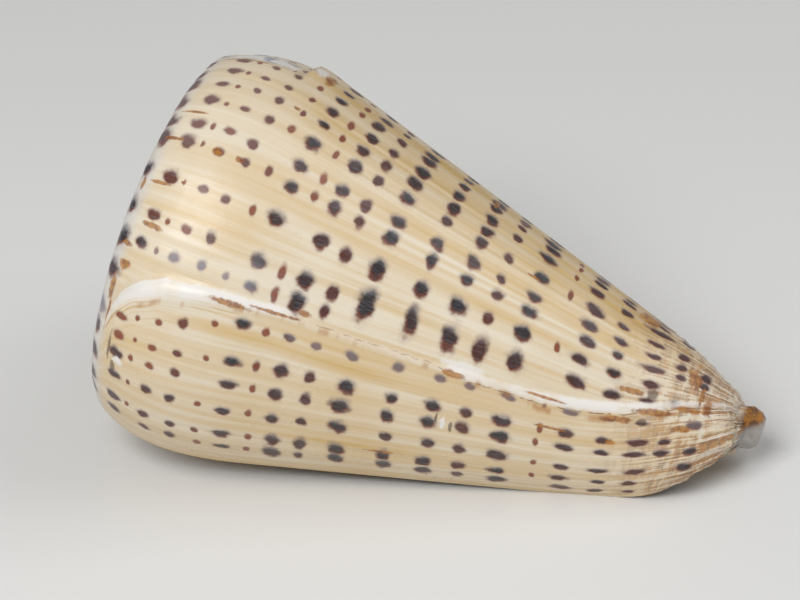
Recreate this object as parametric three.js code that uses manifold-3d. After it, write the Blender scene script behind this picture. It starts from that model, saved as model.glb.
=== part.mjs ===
// Cone shell: a large sea snail's shell, grown as one piece, lying with its aperture down.
// Millimetres, +Z up. The long axis lies along X, with the spire at -X and the tip at +X,
// and the shell rests on z = 0.
//
// The outside is a growth spiral. Angles are in degrees round the shell's axis: 0 is the outer lip
// and negative angles are older shell. Depths run from the apex down the axis to the tip. Every
// section has the same outline, as large as the shell had grown by then, and reaches the same tip.

import * as THREE from 'three';
import { ParametricGeometry } from 'three/addons/geometries/ParametricGeometry.js';
import { mergeVertices } from 'three/addons/utils/BufferGeometryUtils.js';
import Module from 'manifold-3d';

// Driving dimensions of the outside
const LENGTH = 110; // apex to the end of the columella
const WHORL_GROWTH = 1.24; // how many times wider the shell gets in one turn
const CORNER_RADIUS = 41.6; // ramp and side would meet here if the shoulder were sharp
const CORNER_DEPTH = 5;
const SIDE_TAPER = 0.291; // radius lost per millimetre of depth
const SUTURE_RADIUS = 25.2; // the last whorl leaves the one before it here
const SUTURE_DEPTH = 6.4;
const SHOULDER_PULL_DEPTH = 9.3; // the shoulder's curve bends towards this depth on the side line
const SHOULDER_END_DEPTH = 34; // and runs into the side line here
const BASE_LENGTH_AT_LIP = 16; // the front end rounds off over this length at the lip
const BASE_LENGTH_OLD = 22; // and over this length on the older shell
const BASE_FADE = -170; // the angle where one has become the other
const BASE_END_DEPTH = 107; // the lip stops short of the columella
const BASE_END_RADIUS_AT_LIP = 7.6;
const BASE_END_RADIUS_OLD = 3.8;
const COLUMELLA_RADIUS = 3.7; // the stub that stands out of the front end
const COLUMELLA_END_RADIUS = 2.8;
const COLUMELLA_STEP = 0.4; // the stub begins this far in front of the base's end
const TIP_LEAN = 1.6; // the front end leans this far away from the lip
const TIP_LEAN_START = 101; // depth where it begins
const TIP_LEAN_ANGLE = -195;

// Growth lines, and so the lip's edge, trail behind towards the front end
const FRONT_LAG = 20; // degrees, at the end of the base
const FRONT_LAG_START = 80; // depth where it begins

// Driving dimensions of the inside
const WALL_AT_LIP = 1.5;
const WALL_INSIDE = 2.4;
const WALL_FADE = -90; // the angle where the full wall is reached
const GLAZE = 0.35; // thin layer over the older whorl inside the aperture
const CORE_RADIUS = 4.6; // the columella inside keeps this radius
const HOLLOW_START = -330; // the deep end of the hollow
const HOLLOW_TAPER = 60; // degrees over which the hollow opens up from that end
const HOLLOW_MOUTH = FRONT_LAG + 6; // past the lip's edge all the way down
const HOLLOW_SHOULDER_OUTER = 0.3; // share of the shoulder's curve where the hollow's top begins
const HOLLOW_SHOULDER_INNER = 0.45;
const HOLLOW_FRONT_DEPTH = 95; // where the closed part of the hollow ends
const NOTCH_START = -62; // from here to the lip the hollow runs out through the front end
const NOTCH_FADE = 14;
const NOTCH_WIDTH = 3.4;

// How it lies, on its lip and its body whorl
const REST_ROLL = 48.4; // from the lip's edge to the lowest line
const REST_TILT = 15.3; // the wide shoulder holds the spire end up
const RESTING_WEAR = 0.25; // the spots that it lies on are worn flat this deep

// Facets
const TURN_STEPS = 72;
const SPIRE_STEPS = 3;
const SHOULDER_STEPS = 8;
const SIDE_STEPS = 6;
const BASE_STEPS = 5;
const HOLLOW_TURN_STEPS = 48;
const HOLLOW_SHOULDER_STEPS = 3;
const HOLLOW_SIDE_STEPS = 5;
const HOLLOW_BASE_STEPS = 3;
const HOLLOW_BASE_SHARE = 0.7; // share of the base's curve that the open hollow follows

const { degToRad, lerp, smoothstep } = THREE.MathUtils;

const growth = (angle) => WHORL_GROWTH ** (angle / 360);

// The side is straight, so every section's side lies on one line, moved out with its growth
function sidePoint(scale, depth) {
  return new THREE.Vector2(scale * CORNER_RADIUS - SIDE_TAPER * (depth - scale * CORNER_DEPTH), depth);
}

// The half-section grown at one angle, as curves of (radius, depth) from the suture to the base's end
function outline(angle) {
  const scale = growth(angle);
  const share = smoothstep(angle, BASE_FADE, 0);
  const suture = new THREE.Vector2(SUTURE_RADIUS, SUTURE_DEPTH).multiplyScalar(scale);
  const pull = sidePoint(scale, scale * SHOULDER_PULL_DEPTH);
  const shoulderEnd = sidePoint(scale, scale * SHOULDER_END_DEPTH);
  const baseLength = lerp(BASE_LENGTH_OLD, BASE_LENGTH_AT_LIP, share);
  const baseTop = sidePoint(scale, BASE_END_DEPTH - baseLength);
  const endRadius = lerp(BASE_END_RADIUS_OLD, BASE_END_RADIUS_AT_LIP, share);
  const baseEnd = new THREE.Vector2(endRadius, BASE_END_DEPTH);
  const basePull = sidePoint(scale, BASE_END_DEPTH).max(baseEnd);
  return {
    shoulder: new THREE.QuadraticBezierCurve(suture, pull, shoulderEnd),
    side: new THREE.LineCurve(shoulderEnd, baseTop),
    base: new THREE.QuadraticBezierCurve(baseTop, basePull, baseEnd),
  };
}

// Points along part of a curve, both ends included
function along(curve, steps, from = 0, to = 1) {
  return Array.from({ length: steps + 1 }, (_, i) => curve.getPoint(lerp(from, to, i / steps)));
}

// The shell coils right-handed
function axisPoint(radius, angle, depth) {
  const turn = degToRad(angle);
  return new THREE.Vector3(radius * Math.cos(turn), -radius * Math.sin(turn), -depth);
}

// A section point put in its place round the axis
function place(point, angle) {
  const lag = FRONT_LAG * smoothstep(point.y, FRONT_LAG_START, BASE_END_DEPTH) ** 2;
  const lean = TIP_LEAN * smoothstep(point.y, TIP_LEAN_START, BASE_END_DEPTH);
  return axisPoint(point.x, angle - lag, point.y).add(axisPoint(lean, TIP_LEAN_ANGLE, 0));
}

// A closed surface through rows of points. Neighbouring rows have the same number of points.
function loft(rows) {
  const lastRow = rows.length - 1;
  const lastPoint = rows[0].length - 1;
  const surface = (u, v, target) => target.copy(rows[Math.round(u * lastRow)][Math.round(v * lastPoint)]);
  return new ParametricGeometry(surface, lastRow, lastPoint);
}

// The outside: one full turn of sections, from the middle of the spire to the middle of the tip.
// The first section follows the last, which leaves the step where the aperture opens.
function outsideGeometry() {
  const oldestSuture = outline(-360).shoulder.v0;
  const spire = along(new THREE.LineCurve(new THREE.Vector2(), oldestSuture), SPIRE_STEPS);
  const tip = [
    new THREE.Vector2(COLUMELLA_RADIUS, BASE_END_DEPTH + COLUMELLA_STEP),
    new THREE.Vector2(COLUMELLA_END_RADIUS, LENGTH),
    new THREE.Vector2(0, LENGTH),
  ];
  const sections = Array.from({ length: TURN_STEPS + 1 }, (_, i) => {
    const angle = -360 + (360 * i) / TURN_STEPS;
    const { shoulder, side, base } = outline(angle);
    const whorl = [
      ...along(shoulder, SHOULDER_STEPS),
      ...along(side, SIDE_STEPS).slice(1),
      ...along(base, BASE_STEPS).slice(1),
    ];
    return [...spire, ...whorl, ...tip].map((point) => place(point, angle));
  });
  return loft([...sections, sections[0]]);
}

// One section of the hollow: down inside the outer wall, through the front end, and back up over
// the older whorl
function hollowSection(angle) {
  const outer = outline(angle);
  const inner = outline(angle - 360);
  const wall = lerp(WALL_AT_LIP, WALL_INSIDE, smoothstep(-angle, 0, -WALL_FADE));
  const open = smoothstep(angle, NOTCH_START - NOTCH_FADE, NOTCH_START);
  const down = [
    ...along(outer.shoulder, HOLLOW_SHOULDER_STEPS, HOLLOW_SHOULDER_OUTER, 1),
    ...along(outer.side, HOLLOW_SIDE_STEPS).slice(1),
    ...along(outer.base, HOLLOW_BASE_STEPS, 0, HOLLOW_BASE_SHARE).slice(1),
  ];
  down.forEach((point, i) => {
    point.x -= wall;
    if (i < HOLLOW_SHOULDER_STEPS) point.y += wall * (1 - i / HOLLOW_SHOULDER_STEPS);
    point.y = Math.min(point.y, lerp(HOLLOW_FRONT_DEPTH, BASE_END_DEPTH, open));
  });
  const up = [
    ...along(inner.shoulder, HOLLOW_SHOULDER_STEPS, HOLLOW_SHOULDER_INNER, 1),
    ...along(inner.side, HOLLOW_SIDE_STEPS).slice(1),
  ].reverse();
  up.forEach((point) => {
    point.x = Math.max(point.x, CORE_RADIUS) + GLAZE;
    point.y = Math.min(point.y - GLAZE, HOLLOW_FRONT_DEPTH);
  });
  const frontDepth = lerp(HOLLOW_FRONT_DEPTH, LENGTH + NOTCH_WIDTH, open);
  const frontInner = new THREE.Vector2(CORE_RADIUS + GLAZE, frontDepth);
  const frontOuter = new THREE.Vector2(CORE_RADIUS + GLAZE + NOTCH_WIDTH, frontDepth);
  return [...down, frontOuter, frontInner, ...up];
}

function hollowGeometry() {
  const rows = Array.from({ length: HOLLOW_TURN_STEPS + 1 }, (_, i) => {
    const angle = lerp(HOLLOW_START, HOLLOW_MOUTH, i / HOLLOW_TURN_STEPS);
    const section = hollowSection(angle);
    const middle = section.reduce((sum, point) => sum.add(point), new THREE.Vector2());
    middle.divideScalar(section.length);
    const closedEnd = i === 0 || i === HOLLOW_TURN_STEPS;
    const size = closedEnd ? 0 : Math.sqrt(smoothstep(angle, HOLLOW_START, HOLLOW_START + HOLLOW_TAPER));
    const ring = section.map((point) => place(point.lerp(middle, 1 - size), angle));
    return [...ring, ring[0]];
  });
  return loft(rows);
}

// A closed geometry as a solid, whichever way its faces point
const wasm = await Module();
wasm.setup();
function solidFrom(geometry) {
  geometry.deleteAttribute('normal');
  geometry.deleteAttribute('uv');
  const merged = mergeVertices(geometry, 1e-4);
  const corners = merged.index.array;
  const triangles = [];
  for (let i = 0; i < corners.length; i += 3) {
    const [a, b, c] = corners.slice(i, i + 3);
    if (a !== b && b !== c && c !== a) triangles.push(a, b, c);
  }
  const solid = (order) => new wasm.Manifold(new wasm.Mesh({
    numProp: 3,
    vertProperties: new Float32Array(merged.attributes.position.array),
    triVerts: new Uint32Array(order),
  }));
  const built = solid(triangles);
  return built.volume() > 0 ? built : solid(triangles.reverse());
}

function geometryFrom(solid) {
  const { vertProperties, triVerts } = solid.getMesh();
  const geometry = new THREE.BufferGeometry();
  geometry.setAttribute('position', new THREE.BufferAttribute(vertProperties, 3));
  geometry.setIndex(new THREE.BufferAttribute(triVerts, 1));
  return geometry;
}

// Lay the shell down: the lowest line's outward direction becomes down, and the tip points to +X
function layDown(geometry) {
  const roll = degToRad(REST_ROLL);
  const tilt = degToRad(REST_TILT);
  const up = new THREE.Vector3(
    -Math.cos(tilt) * Math.cos(roll),
    Math.cos(tilt) * Math.sin(roll),
    Math.sin(tilt),
  );
  const tip = new THREE.Vector3(0, 0, -1);
  const forward = tip.addScaledVector(up, -tip.dot(up)).normalize();
  const sideways = new THREE.Vector3().crossVectors(up, forward);
  geometry.applyMatrix4(new THREE.Matrix4().makeBasis(forward, sideways, up).transpose());
  geometry.computeBoundingBox();
  const { min, max } = geometry.boundingBox;
  return geometry.translate(-(min.x + max.x) / 2, -(min.y + max.y) / 2, -min.z - RESTING_WEAR);
}

const grown = solidFrom(outsideGeometry()).subtract(solidFrom(hollowGeometry()));
const laid = solidFrom(layDown(geometryFrom(grown)));
const floor = new THREE.BoxGeometry(2 * LENGTH, 2 * LENGTH, LENGTH).translate(0, 0, -LENGTH / 2);

const shell = new THREE.Mesh(
  geometryFrom(laid.subtract(solidFrom(floor))),
  new THREE.MeshStandardMaterial({ color: 0xe8d8b4, roughness: 0.35, metalness: 0 }),
);
shell.name = 'shell';

const coneShell = new THREE.Group();
coneShell.add(shell);

export default coneShell;
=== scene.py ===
"""A cone shell: a large sea snail's shell with rows of dark spots and a healed scar across its back.

It is grown round its axis as a spiral of sections, hollowed out behind the aperture, and laid down
on its lip and its body whorl. Angles are in degrees round the axis: 0 is the outer lip's edge and
negative angles are older shell. A station is a distance in millimetres down the outside, from the
suture over the shoulder to the front end, measured at the lip.
"""

import math

import bpy
import numpy as np
from mathutils import Matrix, Vector


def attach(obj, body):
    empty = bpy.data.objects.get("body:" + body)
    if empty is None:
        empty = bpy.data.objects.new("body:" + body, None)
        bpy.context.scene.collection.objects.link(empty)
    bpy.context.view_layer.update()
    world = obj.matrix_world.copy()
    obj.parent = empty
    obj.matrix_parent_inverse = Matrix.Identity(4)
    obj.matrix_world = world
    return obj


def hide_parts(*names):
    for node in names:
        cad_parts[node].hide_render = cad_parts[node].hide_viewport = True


bl_info = {
    "name": "Cone Shell",
    "version": (1, 0, 0),
    "blender": (4, 5, 0),
    "location": "View3D > Sidebar > Cone Shell",
    "description": "Grows a spotted cone shell and sets up a plain studio round it",
    "category": "Add Mesh",
}

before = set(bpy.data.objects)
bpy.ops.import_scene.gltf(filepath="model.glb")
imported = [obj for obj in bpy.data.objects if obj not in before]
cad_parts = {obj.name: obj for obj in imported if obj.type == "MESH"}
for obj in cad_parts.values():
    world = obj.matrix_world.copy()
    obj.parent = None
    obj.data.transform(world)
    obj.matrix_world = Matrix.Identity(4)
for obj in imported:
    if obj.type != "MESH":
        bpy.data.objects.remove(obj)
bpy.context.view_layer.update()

MM = 0.001
SEED = 7

# The outline of one section at the lip, in millimetres
LENGTH = 110.0
WHORL_GROWTH = 1.24
CORNER_RADIUS, CORNER_DEPTH, SIDE_TAPER = 41.6, 5.0, 0.291
SUTURE_RADIUS, SUTURE_DEPTH = 25.2, 6.4
SHOULDER_PULL_DEPTH, SHOULDER_END_DEPTH = 9.3, 34.0
BASE_LENGTH_AT_LIP, BASE_LENGTH_OLD, BASE_FADE = 16.0, 22.0, -170.0
BASE_END_DEPTH, BASE_END_RADIUS_AT_LIP, BASE_END_RADIUS_OLD = 107.0, 7.6, 3.8
STUB = ((3.6, 107.4), (3.1, 109.0), (2.4, 109.8), (0.0, 110.0))  # the columella's end: radius, depth
TIP_LEAN, TIP_LEAN_START, TIP_LEAN_ANGLE = 1.6, 101.0, -195.0
STUB_LEAN = 1.1
STUB_SKIN_LOW, STUB_SKIN_HIGH = 0.0080, 0.0091  # metres above the floor: brown skin is left above this
# How many millimetres further forward the front rim reaches at each angle: the lip's corner is worn
# back, and the rim is ragged near it
RIM_REACH = (
    (-220, 0), (-140, -1.6), (-90, -1.8), (-60, -1), (-40, -0.1), (-25, -0.7),
    (-12, -2.2), (0, -4.2),
)
RIM_START, RIM_RAGGED, RIM_RAGGED_SPACING = 96, 0.45, 2.6
FRONT_LAG, FRONT_LAG_START = 20.0, 80.0
DOME_RISE, DOME_STEPS = 0.25, ((0.72, 0.45), (0.55, 0.35), (0.4, 0.2))  # each ring's size and lift
SUTURE_GROOVE = 0.35  # how deep the line between two whorls lies
RAMP_HOLLOW = 0.25  # and how far a whorl's ramp sags between two of those lines

# Relief on the outside, in millimetres
RIBS = ((0.05, 2.2), (0.07, 7.0))  # the growth ribs' height, and their spacing in degrees
CORD_HEIGHT, CORD_SPACING, CORDS_START, CORDS_FULL = 0.10, 1.75, 88, 100
SCAR_REACH, SCAR_FOOT, SCAR_LEDGE = 30, 0.35, 0.25
BREAK_DROP, FLAP_RISE, FLAP_STATION, RAMP_DROP = 0.7, 0.45, 23.2, 0.45

# The hollow behind the aperture
WALL_AT_LIP, WALL_INSIDE, WALL_FADE = 1.3, 2.4, -90.0
GLAZE, CORE_RADIUS = 0.35, 4.6
HOLLOW_START, HOLLOW_TAPER, HOLLOW_MOUTH = -330.0, 60.0, 26.0
HOLLOW_SHOULDER_OUTER, HOLLOW_SHOULDER_INNER = 0.3, 0.45
HOLLOW_FRONT_DEPTH, NOTCH_START, NOTCH_FADE, NOTCH_WIDTH = 95.0, -62.0, 14.0, 3.4

# Facets
TURN_STEPS, SPIRE_WHORLS = 480, 11
RAMP_SHARES = (0.0, 0.12, 0.35, 0.6, 0.84, 1.0)
BODY_STEPS = 124
HOLLOW_TURN_STEPS, HOLLOW_SHOULDER_STEPS, HOLLOW_SIDE_STEPS, HOLLOW_BASE_STEPS = 96, 6, 14, 6
HOLLOW_BASE_SHARE = 0.7
SHELL_WELD, HOLLOW_WELD = 2e-6, 1e-6  # vertices closer than this, in metres, are made one
SMOOTH_ANGLE = 38

# Bands of spots that run round the shell: station, half the length round it and half the width
# down it in millimetres, and how red the spots are, from 0 for blue-black to 1 for red-brown
SPOT_ROWS = (
    (12.2, 1.05, 1.25, 0.25), (14.6, 0.60, 0.45, 1), (17.8, 0.80, 0.95, 0.45),
    (22.2, 1.00, 0.95, 0.25), (26.6, 0.72, 0.58, 0.95), (30.9, 1.05, 1.20, 0.10),
    (34.9, 0.85, 0.52, 1), (38.7, 1.30, 1.15, 0.15), (43.2, 1.10, 0.85, 0.40),
    (49, 1.35, 1.35, 0.05), (56.4, 1.25, 1.00, 0.15), (63, 1.25, 1.20, 0.10),
    (68.3, 1.05, 0.95, 0.45), (74.4, 1.15, 1.45, 0.10), (80.2, 0.80, 0.40, 1),
    (84.6, 1.15, 1.10, 0.22), (90.4, 1.05, 0.90, 0.20), (95.7, 1.00, 1.00, 0.35),
    (99.6, 1.05, 0.70, 0.25), (103.6, 1.35, 0.85, 0.15),
)
# The shell paused in its growth at these angles, and each pause left one spot in every band.
# Each has its angle at the shoulder, half way down and at the front. Some run out on the way.
PULSES = (
    (-138.5, -141, -141), (-130.7, -131.7, -130), (-123, -123, None), (-115, -115.3, -117),
    (-105.8, -104.2, -106), (-99.8, -97, -96.8), (-88, -86.2, -86), (-76.8, -73, -75),
    (-68, None, None), (-57, -56.8, -60), (-45.6, -45.6, -47), (-38, -38, -39),
    (-28.6, -28.4, -25.5), (-18.2, -17.8, -16), (-11.6, -11.4, -7),
)
PULSE_STATIONS = (12, 56, 96)
PULSE_ENDS = {1: 46, 2: 66, 3: 200.0}  # how far down a pause runs that has so many known angles
PULSE_SPACING, PULSE_SLIP = 9.6, 1.5  # between the pauses on the rest of the shell
SPOT_SCALE, TINY_HALF_WIDTH = 1.16, 0.6
SCAR_ANGLE = -62.5
# Chips, cracks, stains and painted shade: angle, station, half the length round the shell and half the
# width down it in millimetres, and what shows there. DARK patches are painted shade, the near-black of
# gaps beside chips, at the scar and by the front stains.
CHIP, STAIN, DARK = 1.0, 2.0, 3.0
PATCHES = (
    (-64, 66.3, 1.05, 3.9, CHIP), (-60.3, 65, 0.75, 2.3, STAIN), (-61.6, 28, 0.65, 4.2, STAIN),
    (-62.8, 35.5, 0.35, 4.5, STAIN), (-65, 39.8, 0.6, 1.3, STAIN), (-66, 37.7, 0.9, 0.45, DARK),
    (-52.5, 8.6, 2.6, 0.7, STAIN), (-60.5, 9.8, 1, 1.4, STAIN), (-85.5, 10.6, 0.35, 2.4, STAIN),
    (-99.6, 9.6, 0.40, 2.6, STAIN), (-73.5, 12.2, 0.6, 2, STAIN), (-98.7, 17.4, 0.8, 1.1, STAIN),
    (-98.9, 21.2, 0.7, 0.9, STAIN), (-109.8, 11, 0.35, 2.6, STAIN), (-123.5, 25.8, 0.5, 0.9, STAIN),
    (-32.4, 12.5, 1, 1, CHIP), (-29.2, 11.7, 1.5, 0.55, DARK), (-35.5, 10.6, 3.4, 0.30, DARK),
    (-46, 9, 4.6, 0.26, STAIN), (-39.3, 65.1, 1.7, 0.50, CHIP), (-41, 64, 1.3, 0.36, DARK),
    (-38, 66.4, 1.2, 0.34, DARK), (-61, 92.2, 0.7, 2.9, STAIN), (-67.5, 97, 0.7, 3.4, STAIN),
    (-71.8, 101.5, 0.6, 2.4, STAIN), (-48, 82, 0.30, 3.6, STAIN), (-62.3, 80, 0.28, 3.9, STAIN),
    (-76.5, 105, 1.6, 0.9, STAIN), (-56.5, 101.5, 0.7, 1.8, STAIN), (-147.5, 27.4, 3.2, 1.2, STAIN),
    (-146, 62.5, 2.2, 0.6, STAIN), (-97, 102.5, 2, 0.8, STAIN), (-114, 73, 0.35, 1.6, STAIN),
    (-19.5, 56, 0.45, 3.2, STAIN), (-148.5, 15, 4.4, 7.6, CHIP), (-139.8, 13.5, 0.28, 6, STAIN),
    (-143.5, 21.2, 1.6, 0.35, STAIN), (-150.5, 25.2, 3, 1.5, CHIP), (-35, 12.9, 0.5, 0.4, DARK),
    (-66.3, 9, 0.5, 1.2, STAIN), (-84, 7.4, 1.3, 0.6, STAIN), (-79, 93.4, 0.6, 2.6, STAIN),
    (-79, 96.3, 1, 1, DARK), (-102, 101.6, 2.4, 1, STAIN), (-60.5, 95.6, 0.8, 1, DARK),
    (-84, 103.8, 2.2, 0.5, STAIN), (-46.5, 91.6, 0.6, 0.8, STAIN), (-141, 94, 2.6, 1.8, STAIN),
)

# Colours that aren't settings
RAMP_WHITE = (0.70, 0.69, 0.67)
FRONT_BROWN, CRACK_BROWN, STAIN_DARK = (0.22, 0.080, 0.016), (0.22, 0.10, 0.035), (0.24, 0.075, 0.012)
TINY_SPOT_RED, HALO = (0.30, 0.075, 0.022), (0.36, 0.26, 0.25)
VEILED_SPOT, THIN_SPOT, OLD_SPOT = (0.40, 0.38, 0.42), (0.36, 0.27, 0.26), (0.33, 0.22, 0.21)
# The second colour here is painted shade, the near-black of gaps beside chips, at the scar and at the
# front
BARE_BLUE, GAP_SHADE_PAINTED = (0.34, 0.37, 0.44), (0.07, 0.038, 0.022)
STUB_BROWN, STUB_GREY, STUB_PALE = (0.13, 0.055, 0.02), (0.34, 0.31, 0.28), (0.46, 0.43, 0.40)
SHELL_IOR = 1.53

# The studio, in metres
AIM = (0, 0, 0.020)
CAMERA_SHIFT = (-0.00547, 0.00455)  # the camera's move to its right and up
STUDIO_LIGHTS = (("key", (-0.12, -0.58, 0.68), 0.5), ("fill", (0.55, 0.20, 0.70), 0.6))  # place, size
FLOOR_SIZE = 12
SENSOR_WIDTH = 36  # millimetres


def amount(name, description, default, **limits):
    return bpy.props.FloatProperty(name=name, description=description, default=default, **limits)


def hue(name, description, default):
    return bpy.props.FloatVectorProperty(
        name=name, description=description, subtype="COLOR", size=3, default=default)


class ShellSettings(bpy.types.PropertyGroup):
    """What a user would change on the shell"""

    roll: amount("Roll", "From the lip's edge round to the lowest line, in degrees", 48.4)
    tilt: amount("Tilt", "How far the wide shoulder lifts the spire's end, in degrees", 15.3)
    wear: amount("Resting wear", "How far the shell sinks where it rests, in millimetres", 0.25)
    relief: amount("Relief", "Strength of the ribs, cords and scar", 1.0, min=0.0, max=3.0)
    cream: hue("Cream", "Main ground colour", (0.73, 0.565, 0.345))
    straw: hue("Straw", "Yellower growth bands", (0.64, 0.42, 0.135))
    milk: hue("Milk", "Whiter growth bands", (0.82, 0.73, 0.58))
    chalk: hue("Chalk", "White of the scar and chips", (0.86, 0.82, 0.77))
    ink: hue("Ink", "Blue-black middle of a spot", (0.007, 0.008, 0.014))
    slate: hue("Slate", "Grey-blue older edge of a spot", (0.20, 0.21, 0.25))
    rust: hue("Rust", "Red-brown newer edge of a spot", (0.185, 0.036, 0.012))
    stain: hue("Stain", "Orange-brown stains and cracks", (0.45, 0.185, 0.024))
    inside: hue("Inside", "Porcelain white inside", (0.86, 0.78, 0.70))


class StudioSettings(bpy.types.PropertyGroup):
    """The camera, floor and lights"""

    azimuth: amount("Azimuth", "Degrees round the shell", 20.43)
    elevation: amount("Elevation", "Degrees above the floor", 30.0)
    camera_roll: amount("Camera roll", "Degrees", -2.67)
    distance: amount("Distance", "From the camera to the shell", 0.6, unit="LENGTH")
    lens: amount("Lens", "Focal length in millimetres", 167.22)
    floor_colour: hue("Floor", "Plain pale floor", (0.80, 0.80, 0.79))
    key_power: amount("Key light", "Watts", 5.5)
    fill_power: amount("Fill light", "Watts", 2.0)
    world_strength: amount("Surroundings", "Strength", 0.22)


# ---------------------------------------------------------------- the growth spiral

def smoothstep(x, low, high):
    t = np.clip((np.asarray(x, float) - low) / (high - low), 0, 1)
    return t * t * (3 - 2 * t)


def growth(angle):
    return WHORL_GROWTH ** (np.asarray(angle, float) / 360)


def side_radius(scale, depth):
    return scale * CORNER_RADIUS - SIDE_TAPER * (depth - scale * CORNER_DEPTH)


def bezier(a, b, c, t):
    return (1 - t) ** 2 * a + 2 * t * (1 - t) * b + t * t * c


def section_point(angle, share):
    """(radius, depth) on the section grown at an angle. share runs 0..1 over the shoulder's curve,
    1..2 down the straight side and 2..3 round the base."""
    scale = growth(angle)
    fade = smoothstep(angle, BASE_FADE, 0)
    pull, end = scale * SHOULDER_PULL_DEPTH, scale * SHOULDER_END_DEPTH
    base_top = BASE_END_DEPTH - (BASE_LENGTH_OLD + (BASE_LENGTH_AT_LIP - BASE_LENGTH_OLD) * fade)
    end_radius = BASE_END_RADIUS_OLD + (BASE_END_RADIUS_AT_LIP - BASE_END_RADIUS_OLD) * fade
    t = np.clip(share, 0, 1)
    radius = bezier(scale * SUTURE_RADIUS, side_radius(scale, pull), side_radius(scale, end), t)
    depth = bezier(scale * SUTURE_DEPTH, pull, end, t)
    t = np.clip(share - 1, 0, 1)
    side_depth = end + (base_top - end) * t
    radius = np.where(share > 1, side_radius(scale, side_depth), radius)
    depth = np.where(share > 1, side_depth, depth)
    t = np.clip(share - 2, 0, 1)
    pull_radius = np.maximum(side_radius(scale, BASE_END_DEPTH), end_radius)
    radius = np.where(share > 2, bezier(side_radius(scale, base_top), pull_radius, end_radius, t), radius)
    depth = np.where(share > 2, bezier(base_top, BASE_END_DEPTH, BASE_END_DEPTH, t), depth)
    return radius, depth


SHARES = np.linspace(0, 3, 1201)
_radii, _depths = section_point(0.0, SHARES)
STATIONS = np.concatenate([[0], np.cumsum(np.hypot(np.diff(_radii), np.diff(_depths)))])
COVER_STATION = float(np.interp(WHORL_GROWTH * SUTURE_RADIUS, _radii[:300], STATIONS[:300]))
COVER_DROP = float(np.interp(COVER_STATION, STATIONS, _depths)) - WHORL_GROWTH * SUTURE_DEPTH
SHOULDER_FADE = 10.0  # the raised shoulder has run out this far below the next whorl's line


def point_down(angle, station):
    return section_point(angle, np.interp(station, STATIONS, SHARES))


def outside_point(angle, station):
    """(radius, depth) of the outside at an angle and a station. The shoulder is raised a little so
    that the next whorl's suture lies on it, and the line between the two is grooved."""
    radius, depth = point_down(angle, station)
    scale = growth(angle)
    raised = smoothstep(station, 0, COVER_STATION) * (
        1 - smoothstep(station, COVER_STATION, COVER_STATION + SHOULDER_FADE))
    depth = depth - COVER_DROP * raised * scale
    covered = 1 - smoothstep(angle, -360, -345)
    across = np.clip(station / COVER_STATION, 0, 1)
    near_old = np.clip(1 - across / 0.12, 0, 1)
    near_new = np.clip(1 - (1 - across) / 0.16, 0, 1) * (station <= COVER_STATION + 1e-6) * covered
    groove = SUTURE_GROOVE * (near_old + WHORL_GROWTH * near_new)
    sag = RAMP_HOLLOW * np.sin(math.pi * across) * (station < COVER_STATION)
    return radius, depth + scale * (groove + sag)


def axis_point(radius, angle, depth):
    turn = np.radians(angle)
    return np.stack([radius * np.cos(turn), -radius * np.sin(turn), -depth + 0 * turn], -1)


def place(radius, angle, depth):
    """A section point in its place round the axis, with the lag and the lean of the front end"""
    lag = FRONT_LAG * smoothstep(depth, FRONT_LAG_START, BASE_END_DEPTH) ** 2
    lean = TIP_LEAN * smoothstep(depth, TIP_LEAN_START, BASE_END_DEPTH)
    return axis_point(radius, angle - lag, depth) + axis_point(lean, TIP_LEAN_ANGLE + 0 * lean, 0 * lean)


def laying_matrix(settings):
    """Rows: where the tip points, sideways and up, as the resting shell lies"""
    roll, tilt = math.radians(settings.roll), math.radians(settings.tilt)
    up = np.array([-math.cos(tilt) * math.cos(roll), math.cos(tilt) * math.sin(roll), math.sin(tilt)])
    forward = np.array([0, 0, -1.0]) - up * -up[2]
    forward /= np.linalg.norm(forward)
    return np.array([forward, np.cross(up, forward), up])


def laying_shift(matrix, settings):
    """The move in millimetres that centres the smooth shell and sets it on the floor"""
    angles, shares = np.meshgrid(np.linspace(-360, 0, 361), np.linspace(0, 3, 121))
    radii, depths = section_point(angles, shares)
    points = place(radii, angles, depths).reshape(-1, 3)
    tip_angles = np.linspace(0, 360, 73)
    for radius, depth in STUB:
        points = np.vstack([points, place(radius, tip_angles, depth + 0 * tip_angles)])
    laid = points @ matrix.T
    low, high = laid.min(0), laid.max(0)
    return np.array([-(low[0] + high[0]) / 2, -(low[1] + high[1]) / 2, -low[2] - settings.wear])


# ---------------------------------------------------------------- relief on the outside

def wander(seed, period, angle):
    """A smooth seeded curve through random values, one every period of angle"""
    knots = np.random.default_rng(seed).uniform(-1, 1, 4096)
    x = np.asarray(angle, float) / period + 2048
    i = np.floor(x).astype(int)
    t = x - i
    t = t * t * (3 - 2 * t)
    return knots[i % 4096] * (1 - t) + knots[(i + 1) % 4096] * t


SCAR_COURSE = (  # station, angle: where the lip once broke and was grown again
    (0, -36), (8.6, -41), (9.3, -45), (10.5, -52), (13, -58), (17, -61.6), (24, -63.4),
    (36, -64.4), (42, -62.9), (50, -62.3), (60, -62.2), (72, -62.6), (80, -63.4),
    (86, -65.8), (91, -69), (96, -72.5), (102, -78), (112, -88),
)
SCAR_WELT = (  # station, height and width in millimetres, and whiteness
    (0, 0, 1.6, 0), (8, 0, 2.4, 0), (10.5, 0.45, 3.4, 0.9), (14, 0.75, 4.2, 1),
    (20, 0.70, 3.4, 1), (30, 0.50, 1.9, 1), (37.5, 0.35, 1.5, 1), (39, 0.2, 1, 0.15),
    (45, 0.16, 0.8, 0.25), (54, 0.18, 0.9, 0.45), (62, 0.28, 1, 0.3), (66, 0.35, 1.6, 0.8),
    (72, 0.32, 1.4, 0.75), (82, 0.32, 1.9, 1), (92, 0.30, 1.9, 1), (103, 0.2, 1.2, 0.6),
    (112, 0.10, 1, 0.2),
)


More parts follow.
